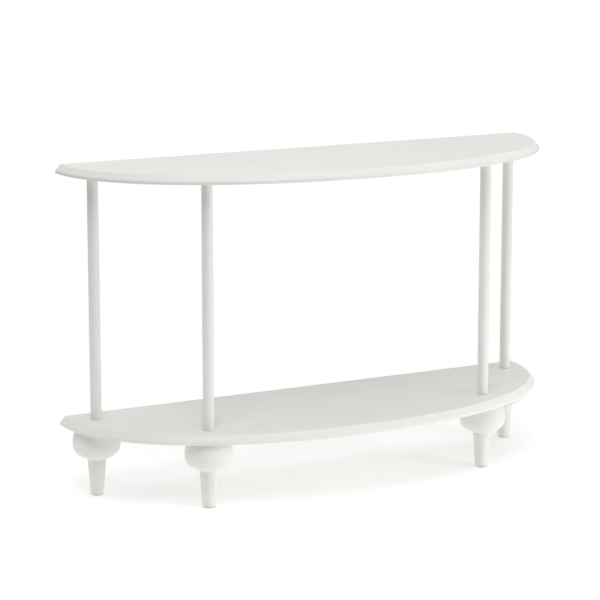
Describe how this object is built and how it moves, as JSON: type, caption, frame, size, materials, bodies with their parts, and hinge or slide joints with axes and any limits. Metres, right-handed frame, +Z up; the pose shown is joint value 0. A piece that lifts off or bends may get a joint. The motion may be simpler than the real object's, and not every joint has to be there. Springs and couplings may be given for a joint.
{
  "type": "half-moon console table",
  "caption": "Half-moon console table in white lacquer, with a lower shelf on turned ball feet, round posts and chamfered curved edges.",
  "frame": {"origin": "on the floor, under the middle of the table's outline box", "axes": "+X along the straight back edge to the right seen from the front, +Y towards the wall, +Z up"},
  "size_m": [1.21, 0.38, 0.75],
  "materials": {
    "board_lacquer": "white satin lacquer, faint lengthwise grain under it",
    "post_lacquer": "white satin lacquer on a round rod",
    "foot_lacquer": "white satin lacquer on turned wood",
    "glide_plastic": "matt off-white plastic",
    "fastener_steel": "bright zinc plate",
    "insert_steel": "yellow zinc plate"
  },
  "bodies": {
    "root": {"top_board": "board_lacquer", "shelf_board": "board_lacquer", "back_left_post": "post_lacquer", "back_right_post": "post_lacquer", "front_left_post": "post_lacquer", "front_right_post": "post_lacquer", "back_left_foot": "foot_lacquer", "back_right_foot": "foot_lacquer", "front_left_foot": "foot_lacquer", "front_right_foot": "foot_lacquer", "back_left_glide": "glide_plastic", "back_right_glide": "glide_plastic", "front_left_glide": "glide_plastic", "front_right_glide": "glide_plastic", "back_left_glide_nail": "fastener_steel", "back_right_glide_nail": "fastener_steel", "front_left_glide_nail": "fastener_steel", "front_right_glide_nail": "fastener_steel", "back_left_foot_bolt": "fastener_steel", "back_right_foot_bolt": "fastener_steel", "front_left_foot_bolt": "fastener_steel", "front_right_foot_bolt": "fastener_steel", "back_left_top_bolt": "fastener_steel", "back_right_top_bolt": "fastener_steel", "front_left_top_bolt": "fastener_steel", "front_right_top_bolt": "fastener_steel", "back_left_post_insert": "insert_steel", "back_right_post_insert": "insert_steel", "front_left_post_insert": "insert_steel", "front_right_post_insert": "insert_steel", "back_left_top_insert": "insert_steel", "back_right_top_insert": "insert_steel", "front_left_top_insert": "insert_steel", "front_right_top_insert": "insert_steel"}
  },
  "joints": []
}
